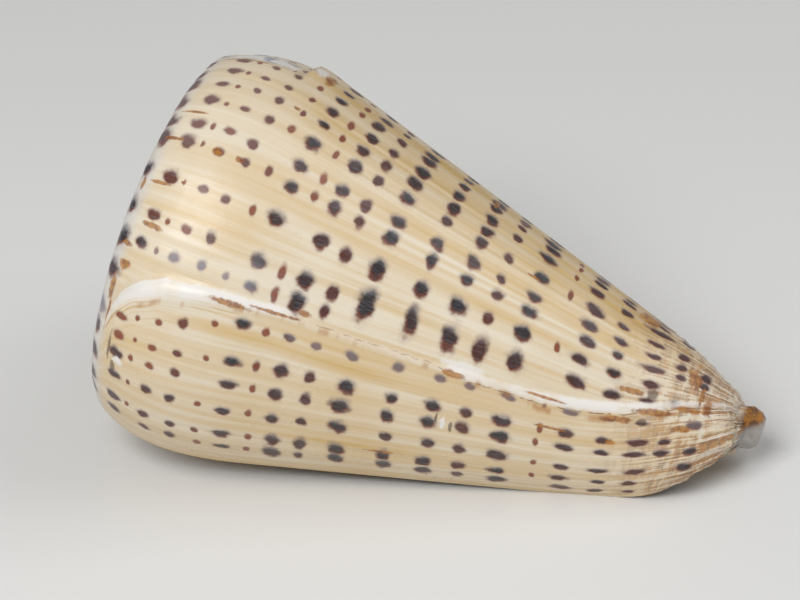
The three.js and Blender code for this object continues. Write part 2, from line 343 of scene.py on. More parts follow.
def across_scar(angle, station):
    """Millimetres from the scar's edge, positive on the newer side"""
    course = np.array(SCAR_COURSE)
    at = np.interp(station, course[:, 0], course[:, 1])
    radius = point_down(angle, station)[0]
    return np.radians(angle - at) * radius


def broken_shoulder(angle, station):
    """An older break left the shoulder low, up to a raised flap"""
    broken = smoothstep(angle, -176, -160) * (1 - smoothstep(angle, -147, -139))
    broken = broken * smoothstep(station, 7, 10.5)
    low = -BREAK_DROP * (1 - smoothstep(station, 22.6, 23.4))
    flap = FLAP_RISE * (1 - smoothstep(station, 24, 31))
    return broken * np.where(station < FLAP_STATION, low, flap)


def scar_relief(angle, station):
    """A rounded welt with a foot on its older side and a low ledge on its newer one"""
    welt = np.array(SCAR_WELT)
    height, width = (np.interp(station, welt[:, 0], welt[:, i]) for i in (1, 2))
    x = across_scar(angle, station)
    bump = np.exp(-((x - 0.5 * width) / (0.62 * width)) ** 2)
    foot = -SCAR_FOOT * np.exp(-((x + 0.25 * width) / (0.3 * width)) ** 2)
    ledge = smoothstep(x, -0.3, 0.5) * (1 - smoothstep(x, 6, 16)) * SCAR_LEDGE
    return np.where(np.abs(x) < SCAR_REACH, height * (bump + foot + ledge), 0)


def relief(angle, station):
    """Millimetres outwards: growth ribs, the front end's cords, the scar and the broken shoulder"""
    radius = point_down(angle, station)[0]
    ribs = sum(height * wander(SEED + i, spacing, angle) for i, (height, spacing) in enumerate(RIBS))
    ribs = ribs * np.clip(radius / 20, 0.2, 1)
    wave = 2 * math.pi * station / CORD_SPACING + 0.8 * wander(SEED + 2, 25, angle)
    cords = CORD_HEIGHT * smoothstep(station, CORDS_START, CORDS_FULL) * np.sin(wave)
    low_ramp = -RAMP_DROP * smoothstep(angle, -78, -66) * (1 - smoothstep(angle, -20, -10))
    low_ramp = low_ramp * (1 - smoothstep(station, 2.0, 6.0))
    on_ramp = smoothstep(station, 0.0, 1.2)
    scar = scar_relief(angle, station)
    return (ribs + cords + scar + broken_shoulder(angle, station) + low_ramp) * on_ramp


# ---------------------------------------------------------------- modelling helpers

def only(obj):
    bpy.ops.object.select_all(action="DESELECT")
    obj.select_set(True)
    bpy.context.view_layer.objects.active = obj


def sheet(name, columns, rows):
    """A flat grid of that many faces, with each vertex's column and row"""
    bpy.ops.object.select_all(action="DESELECT")
    bpy.ops.mesh.primitive_grid_add(x_subdivisions=columns, y_subdivisions=rows, size=2, calc_uvs=False)
    obj = bpy.context.object
    obj.name = obj.data.name = name
    flat = np.zeros(len(obj.data.vertices) * 3, np.float32)
    obj.data.vertices.foreach_get("co", flat)
    flat = flat.reshape(-1, 3)
    column = np.rint((flat[:, 0] + 1) / 2 * columns).astype(int)
    row = np.rint((flat[:, 1] + 1) / 2 * rows).astype(int)
    return obj, column, row


def move_vertices(obj, points):
    obj.data.vertices.foreach_set("co", (points * MM).astype(np.float32).ravel())
    obj.data.update()


def write_corners(obj, name, values):
    obj.data.uv_layers.new(name=name).data.foreach_set("uv", values.astype(np.float32).ravel())


def write_uv(obj, name, per_vertex):
    """A UV map whose values are the vertices' own"""
    corner = np.zeros(len(obj.data.loops), np.int32)
    obj.data.loops.foreach_get("vertex_index", corner)
    write_corners(obj, name, per_vertex[corner])


def read_uv(obj, name):
    values = np.zeros(len(obj.data.loops) * 2, np.float32)
    obj.data.uv_layers[name].data.foreach_get("uv", values)
    return values.reshape(-1, 2).astype(float)


def edit(obj, *steps):
    only(obj)
    bpy.ops.object.mode_set(mode="EDIT")
    bpy.ops.mesh.select_all(action="SELECT")
    for step in steps:
        step()
    bpy.ops.object.mode_set(mode="OBJECT")


def join(objects, name):
    only(objects[0])
    for obj in objects:
        obj.select_set(True)
    bpy.ops.object.join()
    objects[0].name = objects[0].data.name = name
    return objects[0]


# ---------------------------------------------------------------- the shell's own pieces

def column_angles():
    return np.linspace(-360, 0, TURN_STEPS + 1)


def body_stations():
    ramp = [share * COVER_STATION for share in RAMP_SHARES]
    body = np.linspace(COVER_STATION, STATIONS[-1], BODY_STEPS + 1)[1:]
    return np.array(ramp + list(body))


def outward(angle, station):
    """Unit normals of the smooth outside, before it is laid down"""
    def at(a, s):
        r, d = outside_point(a, s)
        return place(r, a, d)
    step_a, step_s = 0.5, 0.3
    high = np.minimum(station + step_s, STATIONS[-1])
    low = np.maximum(station - step_s, 0)
    round_it = at(angle + step_a, station) - at(angle - step_a, station)
    down_it = at(angle, high) - at(angle, low)
    normal = np.cross(down_it, round_it)
    normal /= np.linalg.norm(normal, axis=-1, keepdims=True) + 1e-12
    point = at(angle, station)
    flat = np.stack([point[..., 0], point[..., 1], 0 * point[..., 2]], -1)
    side = np.sign((normal * flat).sum(-1, keepdims=True))
    steep = np.abs((normal * flat).sum(-1, keepdims=True))
    steep = steep / (np.linalg.norm(flat, axis=-1, keepdims=True) + 1e-9)
    upward = np.where(normal[..., 2:3] < 0, -1.0, 1.0)
    return normal * np.where(steep > 0.35, side, upward)


def rim_reach(angle):
    """How much further forward the front rim reaches, in millimetres"""
    near_lip = smoothstep(angle, -100, -60)
    ragged = RIM_RAGGED * near_lip * wander(SEED + 3, RIM_RAGGED_SPACING, angle)
    return (np.interp(angle, *np.array(RIM_REACH).T) + ragged) * (angle > RIM_REACH[0][0])


def grown_points(angle, station, strength):
    """The outside with that strength of relief, before it is laid down"""
    radius, depth = outside_point(angle, station)
    depth = depth + rim_reach(angle) * smoothstep(station, RIM_START, STATIONS[-1])
    raised = outward(angle, station) * (relief(angle, station) * strength)[..., None]
    return place(radius, angle, depth) + raised


def grow_body(strength):
    """The last whorl with the columella's stub, and the step where the aperture opens"""
    angles, stations = column_angles(), body_stations()
    rows = len(stations) - 1 + len(STUB)
    obj, column, row = sheet("body_whorl", TURN_STEPS + 1, rows)
    closing = column == TURN_STEPS + 1
    angle = angles[np.where(closing, 0, np.minimum(column, TURN_STEPS))]
    covered_row = len(RAMP_SHARES) - 1
    row = np.where(closing, np.maximum(row, covered_row), row)
    on_stub = row >= len(stations)
    station = stations[np.minimum(row, len(stations) - 1)]
    points = grown_points(angle, station, strength)
    stub = np.array(STUB)[np.clip(row - len(stations), 0, len(STUB) - 1)]
    lean = axis_point(STUB_LEAN, TIP_LEAN_ANGLE + 0 * angle, 0.0)
    points[on_stub] = (place(stub[:, 0], angle, stub[:, 1]) + lean)[on_stub]
    move_vertices(obj, points)
    down = np.where(on_stub, STATIONS[-1] + 1 + row - len(stations), station)
    write_uv(obj, "growth", np.stack([angle, down], -1))
    return obj


def grow_spire():
    """The older whorls' ramps as one spiral strip"""
    angles = np.linspace(-360 * (SPIRE_WHORLS + 1), -360, TURN_STEPS * SPIRE_WHORLS + 1)
    stations = np.array(RAMP_SHARES) * COVER_STATION
    obj, column, row = sheet("spire", len(angles) - 1, len(stations) - 1)
    angle, station = angles[column], stations[row]
    points = grown_points(angle, station, 0.0)
    # each strip ends exactly where the next whorl begins
    inner = grown_points(np.minimum(angle + 360, 0), 0 * station, 0.0)
    points = np.where((row == len(stations) - 1)[:, None], inner, points)
    move_vertices(obj, points)
    write_uv(obj, "growth", np.stack([angle, station], -1))
    return obj


def close_apex(obj):
    """A low dome over the oldest whorl's open middle"""
    oldest = np.array([-360.0 * (SPIRE_WHORLS + 1)])
    rise = abs(grown_points(oldest, np.array([0.0]), 0.0)[0][2]) * MM * DOME_RISE

    def pick_open_edge():
        bpy.ops.mesh.select_all(action="DESELECT")
        bpy.ops.mesh.select_mode(type="EDGE")
        bpy.ops.mesh.select_non_manifold(extend=False, use_wire=False, use_multi_face=False,
                                         use_non_contiguous=False, use_verts=False)

    def dome():
        for shrink, lift in DOME_STEPS:
            bpy.ops.mesh.extrude_edges_move()
            bpy.ops.transform.resize(value=(shrink, shrink, 1), center_override=(0, 0, 0))
            bpy.ops.transform.translate(value=(0, 0, rise * lift))
        bpy.ops.mesh.merge(type="CENTER")
    edit(obj, pick_open_edge, dome)


def hollow_ring(angle):
    """One section of the hollow, as (radius, depth) rows: down inside the wall, round the front and up"""
    wall = WALL_AT_LIP + (WALL_INSIDE - WALL_AT_LIP) * smoothstep(-angle, 0, -WALL_FADE)
    opened = float(smoothstep(angle, NOTCH_START - NOTCH_FADE, NOTCH_START))
    outer_shares = np.concatenate([
        np.linspace(HOLLOW_SHOULDER_OUTER, 1, HOLLOW_SHOULDER_STEPS + 1),
        np.linspace(1, 2, HOLLOW_SIDE_STEPS + 1)[1:],
        np.linspace(2, 2 + HOLLOW_BASE_SHARE, HOLLOW_BASE_STEPS + 1)[1:]])
    radius, depth = section_point(angle, outer_shares)
    ceiling = np.clip(1 - np.arange(len(radius)) / HOLLOW_SHOULDER_STEPS, 0, 1)
    front = HOLLOW_FRONT_DEPTH + (BASE_END_DEPTH - HOLLOW_FRONT_DEPTH) * opened
    down = np.stack([radius - wall, np.minimum(depth + wall * ceiling, front)], -1)
    inner_shares = np.concatenate([
        np.linspace(HOLLOW_SHOULDER_INNER, 1, HOLLOW_SHOULDER_STEPS + 1),
        np.linspace(1, 2, HOLLOW_SIDE_STEPS + 1)[1:]])
    radius, depth = section_point(angle - 360, inner_shares)
    up = [np.maximum(radius, CORE_RADIUS) + GLAZE, np.minimum(depth - GLAZE, HOLLOW_FRONT_DEPTH)]
    up = np.stack(up, -1)[::-1]
    front_depth = HOLLOW_FRONT_DEPTH + (LENGTH + NOTCH_WIDTH - HOLLOW_FRONT_DEPTH) * opened
    ends = np.array([(CORE_RADIUS + GLAZE + NOTCH_WIDTH, front_depth), (CORE_RADIUS + GLAZE, front_depth)])
    return np.vstack([down, ends, up])


def grow_hollow():
    """The space behind the aperture, closed to a point at its older end, to be cut out of the shell"""
    angles = np.linspace(HOLLOW_START, HOLLOW_MOUTH, HOLLOW_TURN_STEPS + 1)
    rings = []
    for i, angle in enumerate(angles):
        ring = hollow_ring(angle)
        ring = place(ring[:, 0], angle + 0 * ring[:, 0], ring[:, 1])
        size = 0.0 if i in (0, HOLLOW_TURN_STEPS) else math.sqrt(
            float(smoothstep(angle, HOLLOW_START, HOLLOW_START + HOLLOW_TAPER)))
        middle = ring.mean(0)
        ring = middle + (ring - middle) * size
        rings.append(np.vstack([ring, ring[:1]]))
    rings = np.array(rings)
    obj, column, row = sheet("hollow", HOLLOW_TURN_STEPS, rings.shape[1] - 1)
    move_vertices(obj, rings[column, row])
    write_uv(obj, "growth", np.stack([angles[column], row.astype(float)], -1))
    edit(obj, lambda: bpy.ops.mesh.remove_doubles(threshold=HOLLOW_WELD),
         lambda: bpy.ops.mesh.normals_make_consistent(inside=False))
    return obj


def lay_down(obj, settings):
    matrix = laying_matrix(settings)
    shift = laying_shift(matrix, settings)
    points = np.zeros(len(obj.data.vertices) * 3, np.float32)
    obj.data.vertices.foreach_get("co", points)
    laid = points.reshape(-1, 3).astype(float) / MM @ matrix.T + shift
    laid[:, 2] = np.maximum(laid[:, 2], 0)
    move_vertices(obj, laid)


# ---------------------------------------------------------------- spots and marks

def all_pulses(random):
    """The pauses that are known, then evenly spaced ones round the rest of the shell"""
    rest = np.arange(PULSES[0][0] - PULSE_SPACING, -365, -PULSE_SPACING)
    rest = rest + random.uniform(-PULSE_SLIP, PULSE_SLIP, len(rest))
    return [*PULSES, *[(angle, angle, angle) for angle in rest]]


def left_out(station, half_width, pulse_end, chance):
    """Whether a pause has run out here, or a spot is missing: tiny ones and those near the front may be"""
    missing_tiny = 0.4 if station > 78 else 0.1
    return (station > pulse_end or (half_width < TINY_HALF_WIDTH and chance < missing_tiny)
            or (station > 98 and chance < 0.5))


def bent(angle, station):
    """A spot's angle, moved beside the scar, and how far its row drifts down with age"""
    drift = -0.022 * (np.clip(angle, -150, -66) + 100) * max(1 - station / 62, 0)
    if angle > SCAR_ANGLE:
        drift += 0.6 * max(1 - station / 70, 0)
        angle += 10 * max(30 - station, 0) / 18 * math.exp(-(angle + 57) / 14)
    return angle, drift


def local_form(angle, station):
    """What a spot's size and length are multiplied by here, and how much redder it is"""
    size, length, redder = 1.0, 1.0, 0.0
    if -60 < angle < -56 and station > 36:
        size, length = 0.8, 0.62
    elif angle > SCAR_ANGLE and station > 25:
        length = 0.85
    if station < 24 and angle < -75:
        redder = 0.35
    if SCAR_ANGLE < angle < -36 and station < 28:
        size, redder = size * 0.85, 0.6
    if 45 < station < 80 and -77 < angle < -71:
        length *= 1.55
    if 36 < station < 66 and -19 < angle < -10:
        length *= 1.35
    return size, length, redder


def grow_spots():
    """Every spot as (angle, station, half length, half width, redness), seeded"""
    random = np.random.default_rng(SEED + 11)
    spots = []
    for station, half_length, half_width, red in SPOT_ROWS:
        squeeze = float(smoothstep(station, 76, 90))  # near the front end spots are short and wide
        small = 1 - 0.16 * float(smoothstep(-station, -34, -16))  # and they are smaller at the shoulder
        for pulse in all_pulses(random):
            known = [(at, angle) for at, angle in zip(PULSE_STATIONS, pulse) if angle is not None]
            size, length = random.uniform(0.92, 1.15), random.uniform(0.9, 1.2)
            slip, rise, chance = random.uniform(-0.5, 0.5), random.uniform(-0.2, 0.2), random.random()
            if left_out(station, half_width, PULSE_ENDS[len(known)], chance):
                continue
            angle, drift = bent(float(np.interp(station, *zip(*known))), station)
            size_share, length_share, redder = local_form(angle, station)
            size = SPOT_SCALE * size * size_share * small
            spots.append((angle + slip, station + drift + rise,
                          half_length * size * length * length_share * (1 - 0.40 * squeeze),
                          half_width * size * (1 + random.random() * 0.6 * squeeze),
                          np.clip(red + redder + random.uniform(-0.12, 0.12), 0, 1)))
    return spots


def blotches():
    """Dark flames across the ramps of the last whorl and the spire"""
    random = np.random.default_rng(SEED + 23)
    marks = []
    for pulse in PULSES:
        angle, middle = pulse[0] + random.uniform(-1, 1), random.uniform(0.94, 1.08)
        half_length, half_width = random.uniform(1.5, 2.2), random.uniform(0.22, 0.32)
        marks.append((angle, COVER_STATION * middle, half_length, COVER_STATION * half_width,
                      random.uniform(0, 0.2)))
    angle = PULSES[0][0] - PULSE_SPACING
    while angle > -360 * (SPIRE_WHORLS + 1):
        scale = float(growth(angle))
        if random.random() > 0.15:
            middle = random.uniform(0.75, 0.95) if angle > -360 else random.uniform(0.45, 0.8)
            marks.append((angle, COVER_STATION * middle, random.uniform(0.9, 1.7) * scale,
                          COVER_STATION * random.uniform(0.25, 0.45), random.uniform(0, 0.35)))
        angle -= PULSE_SPACING * random.uniform(0.8, 1.7) / scale ** 0.5
    return marks


def nearest_marks(angle, station, radius, marks, face_of_corner, face_count):
    """Each face takes the mark nearest to its middle. Returns, for each corner, its place in that mark,
    measured in the mark's own half sizes, and for each face the mark's last value."""
    share = np.bincount(face_of_corner, minlength=face_count)
    mid_a = np.bincount(face_of_corner, angle, face_count) / share
    mid_s = np.bincount(face_of_corner, station, face_count) / share
    mid_r = np.bincount(face_of_corner, radius, face_count) / share
    best = np.full(face_count, np.inf)
    which = np.zeros(face_count, int)
    for number, (a, s, half_length, half_width, _) in enumerate(marks):
        x = np.radians(mid_a - a) * mid_r / half_length
        y = (mid_s - s) / half_width
        d = x * x + y * y
        closer = d < best
        best[closer] = d[closer]
        which[closer] = number
    table = np.array([m[:4] for m in marks])[which][face_of_corner]
    place_in = np.stack([np.radians(angle - table[:, 0]) * radius / table[:, 2],
                         (station - table[:, 1]) / table[:, 3]], -1)
    redness_or_kind = np.array([m[4] for m in marks])[which]
    return np.clip(place_in, -6, 6), redness_or_kind


def write_attribute(obj, name, domain, values):
    layer = obj.data.attributes.new(name, "FLOAT", domain)
    layer.data.foreach_set("value", values.astype(np.float32))


def mark_surface(obj):
    """Writes where each face lies on its nearest mark and from the scar, for the materials to read"""
    grown = read_uv(obj, "growth")
    angle, station = grown[:, 0], np.minimum(grown[:, 1], STATIONS[-1])
    radius = point_down(angle, station)[0]
    faces = len(obj.data.polygons)
    totals = np.zeros(faces, np.int32)
    obj.data.polygons.foreach_get("loop_total", totals)
    face_of_corner = np.repeat(np.arange(faces), totals)
    for marks, place_name, value_name in (
            (grow_spots() + blotches(), "spot", "redness"), (PATCHES, "patch", "patch_kind")):
        place_in, value = nearest_marks(angle, station, radius, marks, face_of_corner, faces)
        write_corners(obj, place_name, place_in)
        write_attribute(obj, value_name, "FACE", value)
    across = np.clip(across_scar(angle, station), -40, 40)
    welt = np.array(SCAR_WELT)
    write_corners(obj, "welt", np.stack([np.interp(station, welt[:, 0], welt[:, i]) for i in (2, 3)], -1))
    turned = (np.interp(station, *np.array(SCAR_COURSE).T) - SCAR_ANGLE) * np.exp(-np.abs(across) / 9)
    write_attribute(obj, "growth_line", "CORNER", angle - turned * (across > -0.5))
    write_corners(obj, "scar", np.stack([across, station], -1))


# ---------------------------------------------------------------- materials

class Nodes:
    """Short ways to add and link a material's nodes"""

    def __init__(self, name):
        self.material = bpy.data.materials.new(name)
        self.material.use_nodes = True
        self.tree = self.material.node_tree
        self.tree.nodes.clear()
        self.output = self.tree.nodes.new("ShaderNodeOutputMaterial")
        self.shader = self.tree.nodes.new("ShaderNodeBsdfPrincipled")
        self.tree.links.new(self.shader.outputs[0], self.output.inputs[0])

    def put(self, socket, value):
        if isinstance(value, bpy.types.NodeSocket):
            self.tree.links.new(value, socket)
        elif socket.type == "RGBA":
            socket.default_value = (*tuple(value)[:3], 1)
        else:
            socket.default_value = value

    def add(self, kind, *values):
        """A new node with its first inputs set or linked"""
        node = self.tree.nodes.new("ShaderNode" + kind)
        for socket, value in zip(node.inputs, values):
            self.put(socket, value)
        return node

    def maths(self, operation, a, b=0.0, c=0.0, clamp=False):
        node = self.add("Math", a, b, c)
        node.operation, node.use_clamp = operation, clamp
        return node.outputs[0]

    def step(self, value, low, high, a=0.0, b=1.0):
        """A smooth change from a to b as value goes from low to high"""
        node = self.add("MapRange", value, low, high, a, b)
        node.interpolation_type = "SMOOTHSTEP"
        return node.outputs[0]

    def steps(self, *parts):
        """The product of a smooth step for each (value, low, high)"""
        return self.times(*[self.step(*part) for part in parts])

    def times(self, value, *others):
        for other in others:
            value = self.maths("MULTIPLY", value, other)
        return value

    def total(self, start, *parts):
        """start, and every part's value times its weight"""
        for value, weight in parts:
            start = self.maths("MULTIPLY_ADD", value, weight, start)
        return start

    def length(self, x, y):
        return self.maths("SQRT", self.total(self.maths("MULTIPLY", x, x), (y, y)))

    def near(self, value, middle, faint, full):
        """1 where value is within full of middle, falling to 0 at faint"""
        return self.step(self.maths("ABSOLUTE", self.maths("SUBTRACT", value, middle)), faint, full)

    def mix(self, share, a, b):
        node = self.add("Mix")
        node.data_type = "RGBA"
        for i, value in ((0, share), (6, a), (7, b)):
            self.put(node.inputs[i], value)
        return node.outputs[2]

    def split(self, vector):
        return self.add("SeparateXYZ", vector).outputs

    def uv(self, name):
        node = self.add("UVMap")
        node.uv_map = name
        return self.split(node.outputs[0])[:2]

    def attribute(self, name):
        node = self.add("Attribute")
        node.attribute_name = name
        return node.outputs["Fac"]

    def vector(self, *values):
        return self.add("CombineXYZ", *values).outputs[0]

    def noise(self, vector, scale=1.0, detail=3.0, roughness=0.5):
        node = self.add("TexNoise", vector)
        for name, value in (("Scale", scale), ("Detail", detail), ("Roughness", roughness)):
            node.inputs[name].default_value = value
        return node.outputs["Fac"]

    def grain(self, solid, scale, detail, *change):
        """Noise in the shell itself, made crisper by a smooth step"""
        return self.step(self.noise(solid, scale, detail), *change)

    def streaks(self, x, y, detail, roughness=0.5):
        """Noise over two directions, each given as a value and its scale"""
        return self.noise(self.vector(self.times(*x), self.times(*y)), 1.0, detail, roughness)

    def line_noise(self, value, scale, offset, detail):
        """Noise along one value. Each use has its own offset."""
        return self.noise(self.vector(self.times(value, scale), offset), 1.0, detail)

    def shake(self, noise, size):
        """Turns noise into a shift of up to half that size either way"""
        return self.maths("MULTIPLY_ADD", noise, size, -size / 2)

    def object_place(self):
        return self.add("TexCoord").outputs["Object"]

    def shifted(self, vector, distance):
        return self.add("VectorMath", vector, (distance,) * 3).outputs[0]

    def bump(self, height, distance, strength):
        node = self.add("Bump")
        for name, value in (("Distance", distance), ("Strength", strength), ("Height", height)):
            self.put(node.inputs[name], value)
        return node.outputs[0]


class ShellNodes(Nodes):
    """Nodes with the places and patterns that the outside's markings share"""

    def __init__(self, name):
        super().__init__(name)
        self.angle, self.station = self.uv("growth")
        self.age = self.attribute("growth_line")
        self.across, self.along = self.uv("scar")
        self.wide, self.white_here = self.uv("welt")
        self.solid = self.object_place()
        self.cloud = self.noise(self.solid, 45, 3)
        self.patchy = self.grain(self.solid, 330, 3, 0.25, 0.55, 0.55, 1)
        self.old_top = self.steps((self.angle, -88, -104), (self.station, 34, 16))


def growth_bands(n, c):
    """Long streaks down the shell, each at one angle"""
    broad = n.streaks((n.age, 0.13), (n.station, 0.012), 2)
    fine = n.streaks((n.age, 0.55), (n.station, 0.02), 4, 0.6)
    pale_spell = n.steps((n.angle, -108, -88), (n.angle, -62, -66))
    straw_spell = n.steps((n.angle, -100, -116), (n.station, 16, 45))
    tone = n.total(-0.03, (broad, 0.62), (fine, 0.46), (n.cloud, 0.37), (pale_spell, 0.11),
                   (straw_spell, -0.045))
    colour = n.mix(n.step(tone, 0.46, 0.70), c.straw, c.cream)
    return n.mix(n.step(tone, 0.66, 0.90), colour, c.milk)


def paint_pale_parts(n, c, colour):
    """The ramp and the spire, the folded new shell beside the scar's welt, and the old shoulder"""
    ramp = n.times(n.step(n.station, 7.6, 10.4, 1, 0), n.step(n.cloud, 0.30, 0.70, 0.92, 0.66))
    colour = n.mix(ramp, colour, RAMP_WHITE)
    beside = n.step(n.across, n.times(n.wide, 2.6), n.times(n.wide, 0.8))
    beside = n.times(beside, n.step(n.across, -0.4, 0.2), n.patchy)
    beside = n.times(beside, n.step(n.along, 37, 30), n.step(n.along, 9, 11.5))
    colour = n.mix(n.times(beside, 0.8), colour, c.milk)
    folds = n.streaks((n.across, 1.6), (n.along, 0.06), 3)
    colour = n.mix(n.times(beside, n.step(folds, 0.50, 0.62, 0, 0.7)), colour, c.straw)
    return n.mix(n.times(n.old_top, 0.38), colour, c.milk)


def paint_front(n, c, colour):
    """Stains along the cords of the front end, and its whitened ridges"""
    cord = n.streaks((n.angle, 0.045), (n.station, 0.8), 5, 0.7)
    drip = n.streaks((n.age, 0.42), (n.station, 0.06), 4, 0.65)
    stained = n.step(n.total(0, (cord, 0.35), (drip, 0.65)), 0.46, 0.54)
    stained = n.times(n.step(n.station, 86, 105), stained, 0.80)
    browner = n.step(n.streaks((n.angle, 0.08), (n.station, 1.3), 3), 0.42, 0.62)
    colour = n.mix(n.step(n.station, 90, 104, 0, 0.5), colour, c.milk)
    colour = n.mix(stained, colour, n.mix(browner, c.stain, FRONT_BROWN))
    ridge = n.streaks((n.age, 0.9), (n.station, 0.05), 3, 0.6)
    white = n.maths("MAXIMUM", n.step(ridge, 0.54, 0.62), n.step(cord, 0.40, 0.32))
    return n.mix(n.times(n.step(n.station, 98, 108), white, 0.75), colour, c.chalk)


def spot_colour(n, c, x, reach):
    """Blue-black, with red-brown on the newer side and grey on the older one"""
    red = n.attribute("redness")
    newer_edge = n.times(n.step(x, -0.5, 0.6), n.step(reach, 0.35, 0.85))
    rusty = n.maths("MAXIMUM", red, newer_edge, clamp=True)
    threads = n.streaks((n.angle, 3.8), (n.station, 0.45), 4, 0.6)
    spot = n.mix(n.times(n.step(x, -0.15, -1), 0.8), c.ink, c.slate)
    spot = n.mix(n.times(rusty, 0.95), spot, c.rust)
    spot = n.mix(n.step(red, 0.78, 1, 0, 0.65), spot, TINY_SPOT_RED)
    return n.mix(n.step(threads, 0.48, 0.68, 0, 0.45), spot, c.slate)


def thinly_covered(n, spot):
    """New shell lies thinly over the spots on both sides of the scar and on the old shoulder"""
    older = n.steps((n.across, -9, -2.5), (n.across, 0.5, 0), (n.along, 37, 27))
    newer = n.steps((n.across, 6, 3), (n.across, 0, 0.3), (n.along, 36, 40))
    spot = n.mix(n.times(older, 0.65), spot, VEILED_SPOT)
    spot = n.mix(n.times(newer, 0.5), spot, THIN_SPOT)
    return n.mix(n.times(n.old_top, 0.42), spot, OLD_SPOT)


def paint_spots(n, c, colour):
    """Spots are crisp on the newer side and blurred on the older one"""
    spot_x, spot_y = n.uv("spot")
    x = n.maths("ADD", spot_x, n.shake(n.noise(n.solid, 430, 2), 1.2))
    y = n.maths("ADD", spot_y, n.shake(n.noise(n.shifted(n.solid, 3), 430, 2), 1.1))
    reach = n.maths("ADD", n.length(x, y), n.shake(n.noise(n.solid, 1500, 2), 0.24))
    softness = n.step(x, -1, 0.4, 0.66, 0.34)
    mask = n.step(reach, n.maths("SUBTRACT", 1.02, softness), n.total(1.06, (softness, 0.25)), 1, 0)
    spot = thinly_covered(n, spot_colour(n, c, x, reach))
    colour = n.mix(n.step(reach, 1.45, 0.95, 0, 0.22), colour, HALO)
    worn = n.step(n.angle, -2600, -900, 0.35, 0.97)
    return n.mix(n.times(mask, worn), colour, spot)


def paint_scar(n, c, colour):
    """A white welt with a yellow-brown streak beside it and a thin dark line"""
    from_edge = n.maths("ADD", n.across, n.shake(n.line_noise(n.along, 0.5, 0, 3), 1))
    white = n.times(n.step(from_edge, -0.55, 0), n.step(from_edge, n.wide, n.times(n.wide, 0.45)))
    colour = n.mix(n.times(white, n.patchy, n.white_here), colour, c.chalk)
    streak_at = n.total(-0.2, (n.wide, 1), (n.step(n.along, 72, 82), 0.8))
    broken_up = n.step(n.line_noise(n.along, 0.22, 8, 3), 0.50, 0.60)
    streak = n.times(n.near(from_edge, streak_at, 0.9, 0.1), broken_up)
    colour = n.mix(n.times(streak, 0.6), colour, c.stain)
    crack_at = n.times(n.step(n.along, 60, 66), n.wide, 0.85)
    crack = n.times(n.near(from_edge, crack_at, 0.16, 0.04), n.step(n.along, 37, 44))
    crack = n.times(crack, n.step(n.line_noise(n.along, 0.4, 5, 2), 0.45, 0.55))
    return n.mix(n.times(crack, n.step(n.along, 60, 72, 0.45, 0.8)), colour, CRACK_BROWN)


def paint_patches(n, c, colour):
    """Chips, stains and painted shade, the near-black of dark gaps. Chips on the broken shoulder are
    bluish.
    """
    patch_x, patch_y = n.uv("patch")
    kind = n.attribute("patch_kind")
    frayed = n.shake(n.noise(n.solid, 800, 4, 0.7), 1.5)
    patch = n.step(n.maths("ADD", n.length(patch_x, patch_y), frayed), 0.55, 1.05, 1, 0)
    stained = n.mix(n.grain(n.solid, 1100, 3, 0.42, 0.62), c.stain, STAIN_DARK)
    bluish = n.steps((n.station, 22.5, 20.5), (n.angle, -128, -136))
    bluish = n.times(n.grain(n.solid, 260, 3, 0.48, 0.60), bluish)
    what = n.mix(n.step(kind, 1.4, 1.6), n.mix(bluish, c.chalk, BARE_BLUE), stained)
    # Painted shade: the third kind of patch is near-black, where gaps lie
    what = n.mix(n.step(kind, 2.4, 2.6), what, GAP_SHADE_PAINTED)
    return n.mix(n.times(patch, n.step(kind, 1.4, 2.6, 0.95, 0.7)), colour, what)


def paint_stub(n, c, colour):
    """The stub is clear grey shell with a brown skin on its upper side"""
    skin = n.mix(n.grain(n.solid, 600, 3, 0.40, 0.60), c.stain, STUB_BROWN)
    bare = n.mix(n.grain(n.solid, 400, 3, 0.35, 0.65), STUB_GREY, STUB_PALE)
    skinned = n.step(n.split(n.solid)[2], STUB_SKIN_LOW, STUB_SKIN_HIGH)
    return n.mix(n.step(n.station, 111.6, 112.2), colour, n.mix(skinned, bare, skin))


def outside_material(c):
    n = ShellNodes("spotted_shell")
    colour = growth_bands(n, c)
    for paint in (paint_pale_parts, paint_front, paint_spots, paint_scar, paint_patches, paint_stub):
        colour = paint(n, c, colour)
    n.put(n.shader.inputs["Base Color"], colour)
    n.put(n.shader.inputs["Roughness"], n.grain(n.solid, 260, 3, 0.3, 0.7, 0.26, 0.42))
    for name, value in (
            ("IOR", SHELL_IOR), ("Specular IOR Level", 0.4), ("Coat Weight", 0.08),
            ("Coat Roughness", 0.12)):
        n.shader.inputs[name].default_value = value
    lines = n.streaks((n.age, 2.4), (n.station, 0.05), 4, 0.6)
    height = n.total(0, (lines, 0.6), (n.noise(n.solid, 700, 2), 0.25))
    n.put(n.shader.inputs["Normal"], n.bump(height, 0.00012, 0.6))
    return n.material


def inside_material(c):
    n = Nodes("porcelain_inside")
    solid = n.object_place()
    warm = n.grain(solid, 60, 3, 0.35, 0.65)
    n.put(n.shader.inputs["Base Color"], n.mix(warm, c.inside, tuple(0.9 * v for v in c.milk)))
    n.shader.inputs["IOR"].default_value = SHELL_IOR
    n.put(n.shader.inputs["Roughness"], n.grain(solid, 300, 2, 0.3, 0.7, 0.22, 0.34))
    n.put(n.shader.inputs["Normal"], n.bump(n.noise(solid, 220, 3), 0.0002, 0.4))
    return n.material


# ---------------------------------------------------------------- operators

